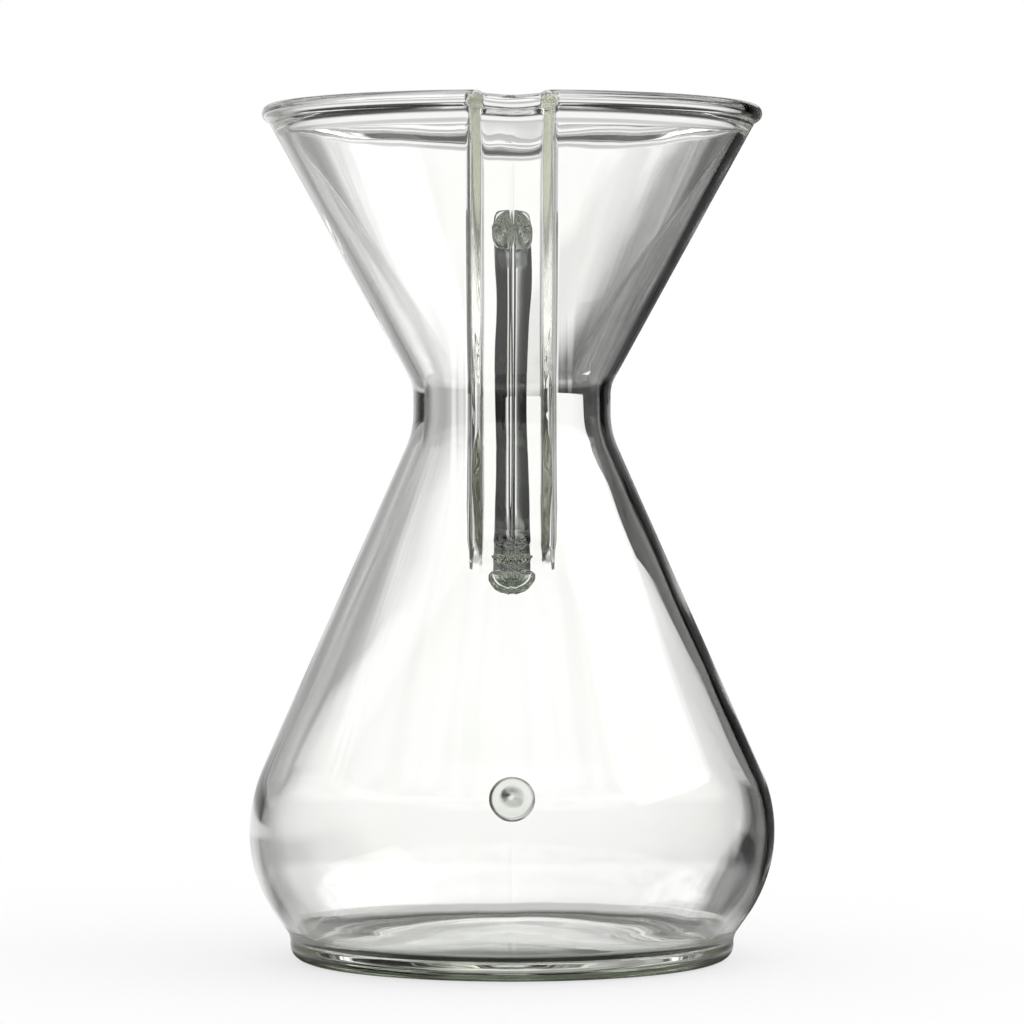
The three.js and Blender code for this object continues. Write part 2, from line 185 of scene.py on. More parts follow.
# Borosilicate glass
GLASS_INDEX = 1.47
GLASS_DEPTH_DENSITY = 1.4
GLASS_FLOW = (1.0, 1.0, 0.35)  # draws the waves out upwards
# Heights over which the painted shade at the bottom of the foot fades out
FOOT_SHADE_FADE = (1.8, 4.0)  # heights
# Where the painted shade on the rod's slanting sides fades in
SIDE_SHADE_FADE = (0.012, 0.05)  # in Layer Weight's Facing

# Camera: a long lens at the height of the neck, tipped down by one degree; its place is in metres
CAMERA_LENS = 164.36
CAMERA_SENSOR = 36.0
CAMERA_PLACE = (0.0, -1.307, 0.1494)
CAMERA_TIP = 1.083

# Floor, in metres from the axis: where its paint fades to white, and where the glass stops showing it
FLOOR_RADIUS = 0.6
FLOOR_BELOW = 0.0002
FLOOR_SIDES = 96
FLOOR_FADE = (0.10, 0.34)
FLOOR_LEAST_WHITE = 0.70
FLOOR_SHOWN = (0.068, 0.088)
FLOOR_GRAIN = 4  # millimetres

# The floor as the glass shows it, by the distance from the axis: painted light inside the foot ring, painted
# shade under it
PAINTED_GLOW_UNDER = [(0.0, 0.6), (0.044, 0.6), (0.052, 0.0), (0.063, 0.0), (0.068, 0.55), (0.1, 0.55)]
PAINTED_SHADE_UNDER = [(0.0, 0.0), (0.044, 0.0), (0.052, 1.0), (0.1, 1.0)]

# Black cards behind the funnel, in metres: how far behind the axis, the corners across and up, and the
# slanting side, which fades out: where it starts, across and up, and the width of its fade
FAR_CARD = (0.40,
            [(0.0, 0.1605), (0.0735, 0.160), (0.0755, 0.1505), (0.086, 0.145), (0.088, 0.118),
             (0.26, 0.118), (0.26, 0.31), (0.0, 0.31)],
            (0.030, 0.163), 0.022)
NEAR_CARD = (0.10, [(0.014, 0.1614), (0.12, 0.1614), (0.12, 0.185), (0.014, 0.185)], (0.024, 0.1614), 0.008)
CARD_SLANT = 0.70  # how far across that side goes for each step up
CARD_FADE = [(-2.3, 0.0), (-1.8, 0.17), (-0.9, 0.21), (-0.52, 0.34), (-0.3, 0.46), (-0.045, 0.67),
             (0.18, 0.87), (0.41, 0.96), (0.64, 1.0)]
CARD_BLACK = 0.08
CARD_WEAVE = 8  # millimetres

# What the glass sees round about, in degrees to the right of straight behind: above and below, and near level
AROUND = [(-180, 0.04), (-130, 0.04), (-115, 0.2), (-62, 0.2), (-54, 0.03), (-49, 0.03), (-45, 0.68),
          (-19, 0.68), (-15, 0.86), (-9, 1.08), (-6, 1.12), (24, 1.12), (26, 0.02), (54, 0.02), (62, 0.2),
          (115, 0.2), (130, 0.04), (180, 0.04)]
AROUND_LEVEL = [(-180, 0.04), (-130, 0.04), (-115, 0.2), (-62, 0.2), (-54, 0.03), (-34, 0.03), (-25, 0.12),
                (-18, 0.34), (-14, 0.5), (-12, 0.66), (-9.5, 0.58), (-7.5, 0.42), (-5.5, 0.62), (-3.5, 0.95),
                (-2, 1.12), (24, 1.12), (26, 0.02), (54, 0.02), (62, 0.2), (115, 0.2), (130, 0.04),
                (180, 0.04)]

# In degrees up from level: how near to level that is, how far right the backdrop's dark right edge lies, and
# how bright the backdrop is; then the brightness past that edge, in degrees to its right
NEAR_LEVEL = [(-90, 0.0), (-16, 0.0), (-12, 0.6), (-5.4, 0.6), (-4.8, 0.1), (-2.3, 0.1), (-1.5, 1.0),
              (3.5, 1.0), (5, 0.0), (90, 0.0)]
RIGHT_EDGE = [(-90, 20), (-16, 20), (-13, 4), (-8, 5), (-5, 9.5), (-4, 10.5), (-0.9, 10.5), (-0.5, 14.5),
              (0.6, 14.5), (1, 10.5), (1.6, 9.5), (3, 9.5), (6, 14), (12, 20), (90, 20)]
BACKDROP_HEIGHT = [(-90, 0.0), (-16, 0.0), (-12, 1.0), (4.2, 1.0), (5.2, 0.62), (8, 0.5), (11, 0.55),
                   (13, 0.85), (20, 0.85), (24, 0.03), (50, 0.02), (60, 0.0), (90, 0.0)]
PAST_RIGHT_EDGE = [(-180, 1.0), (-9, 1.0), (-1, 0.78), (1, 0.03), (40, 0.03), (44, 1.0), (180, 1.0)]

# The table below, the soft boxes high up and the ceiling, round about and up from level
TABLE_AROUND = [(-180, 0.9), (-125, 0.9), (-110, 1.2), (-60, 1.2), (-50, 0.25), (-12, 0.25), (-8, 0.60),
                (8, 0.60), (12, 0.2), (46, 0.2), (60, 1.2), (110, 1.2), (125, 0.9), (180, 0.9)]
TABLE_HEIGHT = [(-90, 1.0), (-16, 1.0), (-12, 0.0), (90, 0.0)]
HIGH_BOXES_AROUND = [(-180, 0.35), (-84, 0.35), (-78, 1.0), (-30, 1.0), (-24, 0.0), (-5, 0.0), (-3.5, 0.4),
                     (3.5, 0.4), (5, 0.0), (24, 0.0), (30, 1.0), (78, 1.0), (84, 0.35), (180, 0.35)]
HIGH_BOXES_HEIGHT = [(-90, 0.0), (18, 0.0), (25, 0.15), (28, 1.8), (50, 1.8), (54, 0.0), (90, 0.0)]
CEILING_HEIGHT = [(-90, 0.0), (54, 0.0), (60, 0.05), (90, 0.08)]

# Seen from another side, straight through the glass and not by a reflection, the studio is white there too
OTHER_SIDES = [(-180, 0.95), (-130, 0.95), (-112, 0.5), (-84, 0.5), (-74, 0.0), (74, 0.0), (84, 0.5),
               (112, 0.5), (130, 0.95), (180, 0.95)]
OTHER_SIDES_HEIGHT = [(-90, 1.0), (22, 1.0), (30, 0.0), (90, 0.0)]

# Unevenness of the soft boxes, by the noise that breaks them up
ROOM_PATCHES = [(0, 0.3), (0.40, 0.35), (0.50, 1.1), (0.68, 1.1), (1, 0.4)]


def place_camera():
    camera = bpy.data.objects.new("camera", bpy.data.cameras.new("camera"))
    bpy.context.scene.collection.objects.link(camera)
    camera.data.lens = CAMERA_LENS
    camera.data.sensor_width = CAMERA_SENSOR
    camera.location = CAMERA_PLACE
    camera.rotation_euler = (math.radians(90 - CAMERA_TIP), 0.0, 0.0)
    bpy.context.scene.camera = camera


def linear(hex_colour):
    """Linear RGBA of an sRGB hex colour."""
    parts = [int(hex_colour[i:i + 2], 16) / 255 for i in (1, 3, 5)]
    return tuple(p / 12.92 if p <= 0.04045 else ((p + 0.055) / 1.055) ** 2.4 for p in parts) + (1.0,)


def add(tree, kind, settings=None, links=None):
    """Adds a node with its settings, and links each named input to an output."""
    node = tree.nodes.new(kind)
    for key, value in (settings or {}).items():
        if isinstance(key, int) or key in node.inputs:
            node.inputs[key].default_value = value
        else:
            setattr(node, key, value)
    for key, output in (links or {}).items():
        tree.links.new(output, node.inputs[key])
    return node


def brightness(tree, stops, value):
    """Grey level by stops of value and level; past the first and the last the level stays."""
    lowest, highest = stops[0][0], stops[-1][0]
    share = add(tree, "ShaderNodeMapRange", {"From Min": lowest, "From Max": highest}, {"Value": value})
    level = add(tree, "ShaderNodeValToRGB", {}, {"Fac": share.outputs["Result"]})
    elements = level.color_ramp.elements
    while len(elements) < len(stops):
        elements.new(0.5)
    for element, (place, grey) in zip(elements, stops):
        element.position = (place - lowest) / (highest - lowest)
        element.color = (grey, grey, grey, 1.0)
    return level.outputs["Color"]


def empty_material(name):
    material = bpy.data.materials.new(name)
    material.use_nodes = True
    material.node_tree.nodes.clear()
    return material, material.node_tree


def clear_glass(name, colours, wave_mm, wave_depth_mm, bends_light=GLASS_INDEX, depth_tint=None,
                painted_foot_shade=None, painted_side_shade=None, roughness=0.0):
    """Clear borosilicate, a little wavy, tinted; if asked, a depth tint and painted shade at foot and sides.
    """
    material, tree = empty_material(name)
    place = add(tree, "ShaderNodeTexCoord")
    flow = add(tree, "ShaderNodeMapping", {"Scale": GLASS_FLOW}, {"Vector": place.outputs["Object"]})
    waves = add(tree, "ShaderNodeTexNoise", {"Scale": 1 / (wave_mm * MM), "Detail": 2.0, "Roughness": 0.4},
                {"Vector": flow.outputs["Vector"]})
    bump = add(tree, "ShaderNodeBump", {"Strength": 1.0, "Distance": wave_depth_mm * MM},
               {"Height": waves.outputs["Fac"]})
    tint = add(tree, "ShaderNodeValToRGB", {}, {"Fac": waves.outputs["Fac"]})
    tint.color_ramp.elements[0].color = linear(colours[0])
    tint.color_ramp.elements[1].color = linear(colours[1])
    # Painted shade: the bottom of the foot turns dark grey-green, where it stands on the floor.
    if painted_foot_shade:
        low, high = FOOT_SHADE_FADE
        axis = add(tree, "ShaderNodeSeparateXYZ", {}, {"Vector": place.outputs["Object"]})
        above = add(tree, "ShaderNodeMapRange", {"From Min": low * MM, "From Max": high * MM},
                    {"Value": axis.outputs["Z"]})
        tint = add(tree, "ShaderNodeMixRGB", {"Color1": linear(painted_foot_shade)},
                   {"Fac": above.outputs["Result"], "Color2": tint.outputs["Color"]})
    # Painted shade: the colour greys where the surface slants away, as on the rod's sides.
    if painted_side_shade:
        low, high = SIDE_SHADE_FADE
        slant = add(tree, "ShaderNodeLayerWeight", {"Blend": 0.5})
        beside = add(tree, "ShaderNodeMapRange", {"From Min": low, "From Max": high},
                     {"Value": slant.outputs["Facing"]})
        tint = add(tree, "ShaderNodeMixRGB", {"Color2": linear(painted_side_shade)},
                   {"Fac": beside.outputs["Result"], "Color1": tint.outputs["Color"]})
    glass = add(tree, "ShaderNodeBsdfPrincipled",
                {"Transmission Weight": 1.0, "IOR": bends_light, "Roughness": roughness},
                {"Base Color": tint.outputs["Color"], "Normal": bump.outputs["Normal"]})
    output = add(tree, "ShaderNodeOutputMaterial", {}, {"Surface": glass.outputs["BSDF"]})
    if depth_tint:
        depth = add(tree, "ShaderNodeVolumeAbsorption",
                    {"Color": linear(depth_tint), "Density": GLASS_DEPTH_DENSITY})
        tree.links.new(depth.outputs["Volume"], output.inputs["Volume"])
    return material


def seen_through_glass(tree):
    """1 for a ray that has met glass, 0 for one straight from the camera or from a painted surface."""
    path = add(tree, "ShaderNodeLightPath")
    return add(tree, "ShaderNodeMath", {"operation": "MAXIMUM"},
               {0: path.outputs["Is Glossy Ray"], 1: path.outputs["Is Transmission Ray"]}).outputs["Value"]


def white_floor():
    """Plain white paint, which fades into the white background away from the object."""
    material, tree = empty_material("white_floor")
    place = add(tree, "ShaderNodeTexCoord")
    far = add(tree, "ShaderNodeVectorMath", {"operation": "LENGTH"}, {0: place.outputs["Object"]})
    grain = add(tree, "ShaderNodeTexNoise", {"Scale": 1 / (FLOOR_GRAIN * MM)},
                {"Vector": place.outputs["Object"]})
    paint = add(tree, "ShaderNodeValToRGB", {}, {"Fac": grain.outputs["Fac"]})
    paint.color_ramp.elements[0].color = linear("#f6f6f6")
    paint.color_ramp.elements[1].color = linear("#fbfbfb")
    glass_ray = seen_through_glass(tree)
    # Painted shade: through the glass, the paint turns dark grey under the foot ring.
    painted_shade_share = add(tree, "ShaderNodeMath", {"operation": "MULTIPLY"},
                {0: glass_ray, 1: brightness(tree, PAINTED_SHADE_UNDER, far.outputs["Value"])})
    painted_shade_colour = add(tree, "ShaderNodeMixRGB", {"Color2": linear("#6f6f6a")},
                 {"Fac": painted_shade_share.outputs["Value"], "Color1": paint.outputs["Color"]})
    lit = add(tree, "ShaderNodeBsdfDiffuse", {}, {"Color": painted_shade_colour.outputs["Color"]})
    white = add(tree, "ShaderNodeEmission", {"Strength": 1.0})
    fade = add(tree, "ShaderNodeMapRange",
               {"From Min": FLOOR_FADE[0], "From Max": FLOOR_FADE[1], "To Min": FLOOR_LEAST_WHITE,
                "interpolation_type": "SMOOTHSTEP"},
               {"Value": far.outputs["Value"]})
    # Painted light: through the glass, the floor glows white inside the foot ring.
    white_share = add(tree, "ShaderNodeMix", {},
                      {"Factor": glass_ray, "A": fade.outputs["Result"],
                       "B": brightness(tree, PAINTED_GLOW_UNDER, far.outputs["Value"])})
    floor = add(tree, "ShaderNodeMixShader", {},
                {"Fac": white_share.outputs["Result"], 1: lit.outputs["BSDF"], 2: white.outputs["Emission"]})

    # Away from the foot, the glass shows the studio's backdrop and cards and not this floor.
    away = add(tree, "ShaderNodeMapRange", {"From Min": FLOOR_SHOWN[0], "From Max": FLOOR_SHOWN[1]},
               {"Value": far.outputs["Value"]})
    open_share = add(tree, "ShaderNodeMath", {"operation": "MULTIPLY"},
                     {0: glass_ray, 1: away.outputs["Result"]})
    clear = add(tree, "ShaderNodeBsdfTransparent")
    mixed = add(tree, "ShaderNodeMixShader", {},
                {"Fac": open_share.outputs["Value"], 1: floor.outputs["Shader"], 2: clear.outputs["BSDF"]})
    add(tree, "ShaderNodeOutputMaterial", {}, {"Surface": mixed.outputs["Shader"]})
    return material


def make_floor():
    """A disc a hair below the foot."""
    bpy.ops.mesh.primitive_circle_add(vertices=FLOOR_SIDES, radius=FLOOR_RADIUS, fill_type="NGON",
                                      location=(0.0, 0.0, -FLOOR_BELOW))
    floor = bpy.context.object
    floor.name = "floor"
    bpy.ops.object.transform_apply(location=True)
    floor.data.materials.append(white_floor())
    return floor


def dark_card(name, behind, corners, side_start, fade):
    """Black card behind the funnel, seen only through the glass; its slanting side fades out."""
    material, tree = empty_material(name)
    place = add(tree, "ShaderNodeTexCoord")
    past_side = add(tree, "ShaderNodeVectorMath", {"operation": "DOT_PRODUCT", 1: (1.0, 0.0, -CARD_SLANT)},
                    {0: place.outputs["Object"]})
    side = side_start[0] - CARD_SLANT * side_start[1]
    stops = [(side + fade * widths, share) for widths, share in CARD_FADE]
    shown = add(tree, "ShaderNodeMath", {"operation": "MULTIPLY"},
                {0: brightness(tree, stops, past_side.outputs["Value"]), 1: seen_through_glass(tree)})
    weave = add(tree, "ShaderNodeTexNoise", {"Scale": 1 / (CARD_WEAVE * MM)},
                {"Vector": place.outputs["Object"]})
    black = add(tree, "ShaderNodeEmission", {"Strength": CARD_BLACK}, {"Color": weave.outputs["Fac"]})
    clear = add(tree, "ShaderNodeBsdfTransparent")
    mixed = add(tree, "ShaderNodeMixShader", {},
                {"Fac": shown.outputs["Value"], 1: clear.outputs["BSDF"], 2: black.outputs["Emission"]})
    add(tree, "ShaderNodeOutputMaterial", {}, {"Surface": mixed.outputs["Shader"]})
    mesh = bpy.data.meshes.new(name)
    mesh.from_pydata([(x, behind, z) for x, z in corners], [], [range(len(corners))])
    card = bpy.data.objects.new(name, mesh)
    bpy.context.scene.collection.objects.link(card)
    card.data.materials.append(material)
    return card


def studio_world():
    """White backdrop behind the glass and dark cards beside it, which draw the dark edges of clear glass.

    Only glass shows them. The camera sees plain white, and painted surfaces get plain light."""
    world = bpy.data.worlds.new("studio")
    world.use_nodes = True
    tree = world.node_tree
    tree.nodes.clear()
    place = add(tree, "ShaderNodeTexCoord")
    axis = add(tree, "ShaderNodeSeparateXYZ", {}, {"Vector": place.outputs["Generated"]})
    turn = add(tree, "ShaderNodeMath", {"operation": "ARCTAN2"}, {0: axis.outputs["X"], 1: axis.outputs["Y"]})
    turn = add(tree, "ShaderNodeMath", {"operation": "DEGREES"}, {0: turn.outputs["Value"]}).outputs["Value"]
    up = add(tree, "ShaderNodeMath", {"operation": "ARCSINE"}, {0: axis.outputs["Z"]})
    up = add(tree, "ShaderNodeMath", {"operation": "DEGREES"}, {0: up.outputs["Value"]}).outputs["Value"]

    # The backdrop, cut off by the right edge and by its height
    around = add(tree, "ShaderNodeMix", {},
                 {"Factor": brightness(tree, NEAR_LEVEL, up), "A": brightness(tree, AROUND, turn),
                  "B": brightness(tree, AROUND_LEVEL, turn)})
    furthest = max(edge for _, edge in RIGHT_EDGE)
    edge_share = brightness(tree, [(height, edge / furthest) for height, edge in RIGHT_EDGE], up)
    past = add(tree, "ShaderNodeMath", {"operation": "MULTIPLY_ADD", 1: -furthest}, {0: edge_share, 2: turn})
    seen = add(tree, "ShaderNodeMath", {"operation": "MULTIPLY"},
               {0: around.outputs["Result"], 1: brightness(tree, PAST_RIGHT_EDGE, past.outputs["Value"])})
    seen = add(tree, "ShaderNodeMath", {"operation": "MULTIPLY"},
               {0: seen.outputs["Value"], 1: brightness(tree, BACKDROP_HEIGHT, up)})

    # The table, the soft boxes and the ceiling are added to it.
    seen = add(tree, "ShaderNodeMath", {"operation": "MULTIPLY_ADD"},
               {0: brightness(tree, TABLE_AROUND, turn), 1: brightness(tree, TABLE_HEIGHT, up),
                2: seen.outputs["Value"]})
    room = add(tree, "ShaderNodeTexNoise", {"Scale": 11.0, "Detail": 3.0},
               {"Vector": place.outputs["Generated"]})
    boxes = add(tree, "ShaderNodeMath", {"operation": "MULTIPLY"},
                {0: brightness(tree, HIGH_BOXES_AROUND, turn),
                 1: brightness(tree, ROOM_PATCHES, room.outputs["Fac"])})
    seen = add(tree, "ShaderNodeMath", {"operation": "MULTIPLY_ADD"},
               {0: boxes.outputs["Value"], 1: brightness(tree, HIGH_BOXES_HEIGHT, up),
                2: seen.outputs["Value"]})
    seen = add(tree, "ShaderNodeMath", {"operation": "ADD"},
               {0: seen.outputs["Value"], 1: brightness(tree, CEILING_HEIGHT, up)})

    # White for the other sides, for rays that no glass has reflected
    path = add(tree, "ShaderNodeLightPath")
    straight = add(tree, "ShaderNodeMath", {"operation": "LESS_THAN", 1: 0.5},
                   {0: path.outputs["Glossy Depth"]})
    other = add(tree, "ShaderNodeMath", {"operation": "MULTIPLY"},
                {0: straight.outputs["Value"], 1: brightness(tree, OTHER_SIDES, turn)})
    other = add(tree, "ShaderNodeMath", {"operation": "MULTIPLY"},
                {0: other.outputs["Value"], 1: brightness(tree, OTHER_SIDES_HEIGHT, up)})
    seen = add(tree, "ShaderNodeMath", {"operation": "MAXIMUM"},
               {0: seen.outputs["Value"], 1: other.outputs["Value"]})

    cards = add(tree, "ShaderNodeBackground", {}, {"Color": seen.outputs["Value"]})
    plain = add(tree, "ShaderNodeBackground", {"Color": linear("#ffffff"), "Strength": 0.8})
    white = add(tree, "ShaderNodeBackground", {"Color": linear("#ffffff"), "Strength": 1.0})
    lit = add(tree, "ShaderNodeMixShader", {},
              {"Fac": seen_through_glass(tree), 1: plain.outputs["Background"],
               2: cards.outputs["Background"]})
    mixed = add(tree, "ShaderNodeMixShader", {},
                {"Fac": path.outputs["Is Camera Ray"], 1: lit.outputs["Shader"],
                 2: white.outputs["Background"]})
    add(tree, "ShaderNodeOutputWorld", {}, {"Surface": mixed.outputs["Shader"]})
    bpy.context.scene.world = world


def soft_box(name, place, target, width, height, watts):
    lamp = bpy.data.lights.new(name, "AREA")
    lamp.shape = "RECTANGLE"
    lamp.size = width
    lamp.size_y = height
    lamp.energy = watts
    box = bpy.data.objects.new(name, lamp)
    bpy.context.scene.collection.objects.link(box)
    box.location = place
    box.rotation_euler = (Vector(target) - Vector(place)).to_track_quat("-Z", "Y").to_euler()
    return box


def smooth(t):
    t = np.clip(t, 0.0, 1.0)
    return t * t * (3 - 2 * t)


def soft_max(a, b, rounding):
    """Larger of a and b, rounded over the width of the rounding."""
    blend = np.clip(rounding - np.abs(a - b), 0.0, None) / rounding
    return np.maximum(a, b) + blend * blend * rounding / 4


def crossing(a, b, c, d):
    """Where the lines a-b and c-d cross."""
    along, other = b - a, d - c
    return a + along * ((c - a).cross(other) / along.cross(other))


def touching(start, centre, radius, side):
    """Where the line from a start touches a circle, on one side of it."""
    away = start - centre
    angle = math.atan2(away.y, away.x) + side * math.acos(radius / away.length)
    return centre + Vector((math.cos(angle), math.sin(angle))) * radius


def wall_corners(offset):
    """Corners of the wall from foot to rim: radius, height and fillet, at an offset out from its middle."""
    half, bead = WALL / 2, RIM_BEAD / 2
    foot = Vector((FOOT_RADIUS - half, FOOT_HEIGHT))
    neck_bottom = Vector((NECK_RADIUS - half, NECK_BOTTOM))
    neck_top = Vector((NECK_RADIUS - half, NECK_TOP))
    curve = BELLY_CURVE - half
    centre = Vector((BELLY_RADIUS - half - curve, BELLY_HEIGHT))
    belly = crossing(foot, touching(foot, centre, curve, 1),
                     neck_bottom, touching(neck_bottom, centre, curve, -1))
    middle = [Vector((FOOT_RADIUS - half, 0.0)), foot, belly, neck_bottom, neck_top,
              Vector((RIM_RADIUS - bead, SOLID_HEIGHT - bead))]
    sides = []
    for a, b in zip(middle, middle[1:]):
        along = (b - a).normalized()
        out = Vector((along.y, -along.x)) * offset
        sides.append((a + out, b + out))
    inward = half - offset
    fillets = (FOOT_FILLET + inward, BELLY_CURVE - inward, NECK_BOTTOM_FILLET + inward,
               NECK_TOP_FILLET + inward)
    turns = [crossing(*below, *above) for below, above in zip(sides, sides[1:])]
    return [*[(*turn, fillet) for turn, fillet in zip(turns, fillets)], (*sides[-1][1], 0.0)]


def outside_corners():
    """Corners of the outside, from the foot ring up to the rim bead."""
    return [(FOOT_RING, 0.0, 0.0), (FOOT_RADIUS, 0.0, FOOT_CORNER), *wall_corners(WALL / 2)]


def inside_corners():
    """Corners of the inside, from over the foot ring up to the rim bead."""
    foot, *wall = wall_corners(-WALL / 2)
    ring, edge = Vector((FOOT_RING, BASE_THICKNESS)), Vector((FOOT_RADIUS, BASE_THICKNESS))
    corner = crossing(ring, edge, Vector(foot[:2]), Vector(wall[0][:2]))
    return [(*ring, 0.0), (*corner, BASE_INNER_CORNER), *wall]


def rounded(corners):
    """Points of a line whose corners are rounded by their fillets."""
    points = [Vector(corners[0][:2])]
    for before, here, after in zip(corners, corners[1:], corners[2:]):
        corner, fillet = Vector(here[:2]), here[2]
        back = (Vector(before[:2]) - corner).normalized()
        ahead = (Vector(after[:2]) - corner).normalized()
        half = back.angle(ahead) / 2
        centre = corner + (back + ahead).normalized() * (fillet / math.sin(half))
        first = corner + back * (fillet / math.tan(half)) - centre
        last = corner + ahead * (fillet / math.tan(half)) - centre
        sweep = -first.angle_signed(last)
        count = max(LEAST_ARC_STEPS, math.ceil(fillet * abs(sweep) / ARC_STEP))
        start = math.atan2(first.y, first.x)
        for k in range(count + 1):
            angle = start + sweep * k / count
            points.append(centre + Vector((math.cos(angle), math.sin(angle))) * fillet)
    points.append(Vector(corners[-1][:2]))
    return points


def spaced(points):
    """The same line with points added on its long straight stretches."""
    result = []
    for a, b in zip(points, points[1:]):
        count = max(1, math.ceil((b - a).length / STRAIGHT_STEP))
        result += [a.lerp(b, k / count) for k in range(count)]
    return result + [points[-1]]


def edit(piece):
    """Goes into edit mode on one piece alone, with all of it selected."""
    bpy.ops.object.select_all(action="DESELECT")
    piece.select_set(True)
    bpy.context.view_layer.objects.active = piece
    bpy.ops.object.mode_set(mode="EDIT")
    bpy.ops.mesh.select_all(action="SELECT")


def start_point(name, place):
    """A new mesh of one selected point, left in edit mode."""
    bpy.ops.object.select_all(action="DESELECT")
    bpy.ops.mesh.primitive_plane_add(size=MM, location=(0.0, 0.0, 0.0))
    piece = bpy.context.object
    piece.name = piece.data.name = name
    edit(piece)
    bpy.ops.mesh.merge(type="CENTER")
    bpy.ops.mesh.select_all(action="SELECT")
    bpy.ops.transform.translate(value=place)
    return piece


def close_up():
    """Merges doubles and turns the faces outwards, then leaves edit mode with smooth shading."""
    bpy.ops.mesh.select_all(action="SELECT")
    bpy.ops.mesh.remove_doubles(threshold=1e-6)
    bpy.ops.mesh.normals_make_consistent(inside=False)
    bpy.ops.object.mode_set(mode="OBJECT")
    bpy.ops.object.shade_smooth()


def turn_profile(name, profile, steps):
    """A turned piece about Z at the origin, from its profile in radius and height."""
    places = [Vector((r, 0.0, z)) * MM for r, z in profile]
    piece = start_point(name, places[0])
    for a, b in zip(places, places[1:]):
        bpy.ops.mesh.extrude_region_move(TRANSFORM_OT_translate={"value": b - a})
    bpy.ops.mesh.select_all(action="SELECT")
    bpy.ops.mesh.spin(steps=steps, angle=2 * math.pi, center=(0, 0, 0), axis=(0, 0, 1))
    close_up()
    return piece


def finish_piece(piece, node, material, joints=()):
    """Gives a piece its glass, with joint glass on the faces that look along one of its joints."""
    piece.data.materials.clear()
    piece.data.materials.append(material)
    if joints:
        piece.data.materials.append(joint_glass)
    for face in piece.data.polygons:
        if any(face.normal.dot(joint) > least for joint, least in joints):
            face.material_index = 1
    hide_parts(node)
    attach(piece, "root")


def push_up(z):
    """The base's pushed-up middle, from the axis out to the foot ring."""
    shares = [k / PUSH_UP_STEPS for k in range(PUSH_UP_STEPS)]
    return [Vector((FOOT_RING * t, z + PUSH_UP_HEIGHT * (1 - t * t) ** PUSH_UP_POWER)) for t in shares]


def glass_section():
    """The glass in section, out along the underside, up the outside, over the rim and down the inside.

    With each point goes its inset: how much narrower the channel is there than on the outside."""
    bead = RIM_BEAD / 2
    centre = Vector((RIM_RADIUS - bead, HEIGHT - bead))
    back = math.sqrt(bead ** 2 - (WALL / 2) ** 2)
    outer, inner = spaced(rounded(outside_corners())), spaced(rounded(inside_corners()))
    slope = (outer[-1] - outer[-2]).normalized()
    highest = HEIGHT - bead - BELOW_BEAD
    outer = [p for p in outer if p.y < highest] + [outer[-1] - slope * back]
    inner = [p for p in inner if p.y < highest] + [inner[-1] - slope * back]
    first = outer[-1] - centre
    start = math.atan2(first.y, first.x)
    sweep = 2 * math.pi - 2 * math.asin(WALL / 2 / bead)
    across = Vector((slope.y, -slope.x))
    over = []
    for k in range(1, RIM_BEAD_STEPS):
        angle = start + sweep * k / RIM_BEAD_STEPS
        point = Vector((math.cos(angle), math.sin(angle))) * bead
        over.append((centre + point, WALL / 2 - point.dot(across)))
    return ([(p, 0.0) for p in push_up(0.0) + outer] + over
            + [(p, WALL) for p in (push_up(BASE_THICKNESS) + inner)[::-1]])


def inset_at(section, r, z):
    """Inset of each spun point, from the section's point that is nearest in radius and height."""
    line = np.array([(p.x, p.y) for p, _ in section])
    insets = np.array([inset for _, inset in section])
    return insets[np.argmin((line[:, 0, None] - r) ** 2 + (line[:, 1, None] - z) ** 2, axis=0)]


def channel_depth(z):
    """How far the channel's front stands out from the round wall at each height."""
    outer = np.array([(p.x, p.y) for p in rounded(outside_corners())])
    wall = np.interp(z, outer[:, 1], outer[:, 0])
    (neck_r, neck_z), (rim_r, rim_z) = outer[-2], outer[-1]
    cone = neck_r + (rim_r - neck_r) * (z - neck_z) / (rim_z - neck_z)
    wall = np.where(z > neck_z, cone, wall)
    front = soft_max(cone + CHANNEL_DEPTH, CHANNEL_FRONT, CHANNEL_BEND)
    depth = soft_max(front - wall, 0.0, CHANNEL_RUN_OUT)
    blunt_end = CHANNEL_END_DEPTH * smooth((z - CHANNEL_END) / CHANNEL_END_LENGTH)
    return (depth ** CHANNEL_END_BLEND + blunt_end ** CHANNEL_END_BLEND) ** (1 / CHANNEL_END_BLEND)


def channel_line(station, depth, inset):
    """Half of a level section through the channel: how far across and how far out each station lies."""
    front_round = np.clip(CHANNEL_FRONT_ROUND - inset, CHANNEL_LEAST_ROUND, None)
    side_round = np.clip(CHANNEL_SIDE_ROUND + inset, CHANNEL_LEAST_ROUND, None)
    share = np.clip(depth / (CORNER_ROOM * (front_round + side_round)), CORNER_LEAST_SHARE, 1.0)
    front_round, side_round = front_round * share, side_round * share
    full = np.maximum(depth, CORNER_ROOM * (front_round + side_round))
    foot = CHANNEL_HALF_WIDTH - inset
    slope = np.arctan2(full, CHANNEL_LEAN)
    reach = np.tan(slope / 2)
    flat = foot - CHANNEL_LEAN - front_round * reach
    centre = foot + side_round * reach
    a, b, c, d, e = STATIONS

    turned = slope * np.clip((station - a) / (b - a), 0, 1)
    corner = (flat + front_round * np.sin(turned), full - front_round * (1 - np.cos(turned)))
    turned = slope * (1 - np.clip((station - c) / (d - c), 0, 1))
    inner = (centre - side_round * np.sin(turned), side_round * (1 - np.cos(turned)))
    along = np.clip((station - b) / (c - b), 0, 1)
    beside = np.clip((station - d) / (e - d), 0, 1)
    where = [station <= a, station <= b, station <= c, station <= d]
    across = np.select(where,
                       [flat * (station / a) ** STATION_CROWDING, corner[0],
                        corner[0] + (inner[0] - corner[0]) * along, inner[0]],
                       centre + (STATION_REACH - centre) * beside)
    out = np.select(where, [full, corner[1], corner[1] + (inner[1] - corner[1]) * along, inner[1]], 0.0)
    return across, out * depth / full


